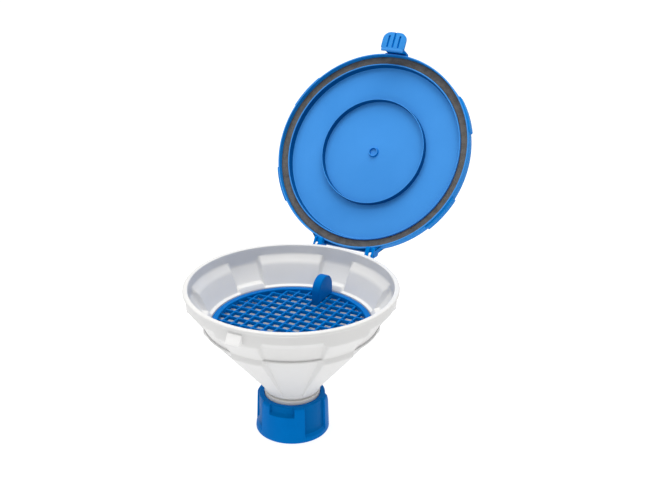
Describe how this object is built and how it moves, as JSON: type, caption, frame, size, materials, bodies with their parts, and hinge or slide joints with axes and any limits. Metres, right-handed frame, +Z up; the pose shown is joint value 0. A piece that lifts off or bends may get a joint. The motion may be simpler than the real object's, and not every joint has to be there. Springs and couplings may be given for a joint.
{
  "type": "safety waste funnel",
  "caption": "White laboratory safety funnel with a hinged, gasketed and latched blue lid, a drop-in sieve with a grip, and a free-turning blue screw cap on its neck.",
  "frame": {"origin": "centre of the screw cap's open mouth, on the funnel's axis", "axes": "+Z up along the funnel's axis; +Y towards the lid's hinge; +X to the right seen from the catch side"},
  "size_m": [0.206, 0.3349, 0.3426],
  "materials": {
    "white_polyethylene": "satin moulded polyethylene, faintly translucent white",
    "collar_plastic": "satin off-white",
    "black_seal": "matte",
    "deep_blue_plastic": "semi-gloss moulded, deep blue",
    "sky_blue_plastic": "semi-gloss moulded, light blue",
    "grey_gasket": "matte foam rubber, warm grey"
  },
  "bodies": {
    "funnel": {"funnel_body": "white_polyethylene", "catch": "white_polyethylene", "hinge_lug_left": "white_polyethylene", "hinge_lug_right": "white_polyethylene", "swivel_collar": "collar_plastic", "neck_seal": "black_seal"},
    "cap": {"screw_cap": "deep_blue_plastic"},
    "sieve": {"sieve_ring": "deep_blue_plastic", "sieve_grid": "deep_blue_plastic", "sieve_grip": "deep_blue_plastic"},
    "lid": {"lid_shell": "sky_blue_plastic", "lid_gasket": "grey_gasket", "stiffening_ring": "sky_blue_plastic", "skirt_pads": "sky_blue_plastic", "hinge_fork_left": "sky_blue_plastic", "hinge_fork_right": "sky_blue_plastic", "hinge_bar": "sky_blue_plastic", "hinge_pin_left": "sky_blue_plastic", "hinge_pin_right": "sky_blue_plastic", "latch_root": "sky_blue_plastic"},
    "latch": {"latch_arm": "sky_blue_plastic", "latch_hook": "sky_blue_plastic", "thumb_tab": "sky_blue_plastic"}
  },
  "joints": [
    {"name": "lid_hinge", "type": "hinge", "parent": "funnel", "child": "lid", "pos_m": [0, 0.1065, 0.1449], "axis": [1, 0, 0], "range_deg": [0, 123.3]},
    {"name": "latch_flex", "type": "hinge", "parent": "lid", "child": "latch", "pos_m": [0, 0.22783, 0.31849], "axis": [-1, 0, 0], "range_deg": [0, 12], "stiffness_Nm_per_rad": 0.3},
    {"name": "cap_turn", "type": "hinge", "parent": "funnel", "child": "cap", "pos_m": [0, 0, 0], "axis": [0, 0, 1], "continuous": true},
    {"name": "sieve_lift", "type": "slide", "parent": "funnel", "child": "sieve", "axis": [0, 0, 1], "range_m": [0, 0.013]}
  ]
}
